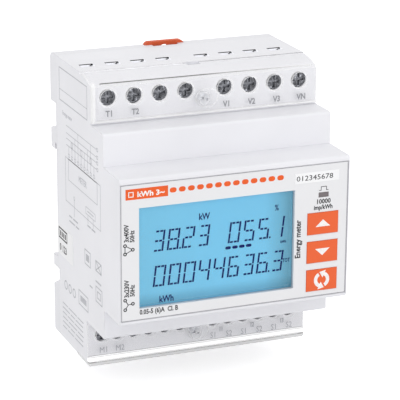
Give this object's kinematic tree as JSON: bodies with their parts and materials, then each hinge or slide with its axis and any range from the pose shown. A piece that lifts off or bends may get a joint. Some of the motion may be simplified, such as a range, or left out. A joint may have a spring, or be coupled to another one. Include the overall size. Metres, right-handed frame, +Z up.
{
  "type": "din rail energy meter",
  "caption": "Stepped DIN rail electricity meter with clear terminal covers, a lit numeric display, orange keys and sliding rail clips.",
  "frame": {"origin": "middle of the rail seat, the flat rear face that lies against the rail, at mid-width and mid-height", "axes": "+X to the right across the front, +Y towards the rail and the wall, +Z up along the meter's height"},
  "size_m": [0.0717, 0.0626, 0.0918],
  "materials": {
    "housing": "satin",
    "base": "satin",
    "cover_clear": "clear, polished",
    "clip_orange": "satin",
    "label_film": "fine matt film",
    "window": "clear, polished",
    "lcd": "blue-lit display glass with dark blue numerals",
    "key_orange": "satin",
    "lens": "translucent red",
    "white_plastic": "white",
    "guide": "clear light guide",
    "contact_rubber": "matt",
    "board": "green laminate",
    "black_plastic": "matt",
    "insulator": "matt",
    "steel": "zinc plated",
    "potting": "blue potting",
    "ferrite": "matt, fired",
    "winding": "yellow tape over wire",
    "capacitor": "sleeved can",
    "suppressor": "dipped coating",
    "sticker": "paper"
  },
  "bodies": {
    "housing": {"rear_base": "base", "main_body": "housing", "upper_terminal_cover": "cover_clear", "lower_terminal_cover": "cover_clear", "upper_seal_plug": "cover_clear", "lower_seal_plug": "cover_clear", "front_label": "label_film", "lcd_window": "window", "lcd_panel": "lcd", "lcd_frame": "white_plastic", "backlight": "guide", "zebra_strips": "contact_rubber", "display_board": "board", "key_switches": "black_plastic", "led_lens": "lens", "pulse_led": "lens", "main_board": "board", "link_board": "board", "upper_terminal_blocks": "insulator", "upper_wire_clamps": "steel", "upper_terminal_screws": "steel", "lower_terminal_blocks": "insulator", "lower_wire_clamps": "steel", "lower_terminal_screws": "steel", "current_transformers": "potting", "supply_core": "ferrite", "supply_coil": "winding", "supply_capacitors": "capacitor", "surge_suppressors": "suppressor", "metering_chip": "black_plastic", "controller_chip": "black_plastic", "output_coupler": "white_plastic", "side_sticker": "sticker", "serial_sticker": "sticker"},
    "key_up": {"key_up": "key_orange", "plunger_up": "black_plastic"},
    "key_down": {"key_down": "key_orange", "plunger_down": "black_plastic"},
    "key_cycle": {"key_cycle": "key_orange", "plunger_cycle": "black_plastic"},
    "clip_upper": {"clip_upper": "clip_orange"},
    "clip_lower": {"clip_lower": "clip_orange"}
  },
  "joints": [
    {"name": "key_up_press", "type": "slide", "parent": "housing", "child": "key_up", "axis": [0, 1, 0], "range_m": [0, 0.0003], "stiffness_N_per_m": 900, "springref_m": -0.0002},
    {"name": "key_down_press", "type": "slide", "parent": "housing", "child": "key_down", "axis": [0, 1, 0], "range_m": [0, 0.0003], "stiffness_N_per_m": 900, "springref_m": -0.0002},
    {"name": "key_cycle_press", "type": "slide", "parent": "housing", "child": "key_cycle", "axis": [0, 1, 0], "range_m": [0, 0.0003], "stiffness_N_per_m": 900, "springref_m": -0.0002},
    {"name": "clip_upper_slide", "type": "slide", "parent": "housing", "child": "clip_upper", "axis": [0, 0, 1], "range_m": [0, 0.00635]},
    {"name": "clip_lower_slide", "type": "slide", "parent": "housing", "child": "clip_lower", "axis": [0, 0, -1], "range_m": [0, 0.00635]}
  ]
}
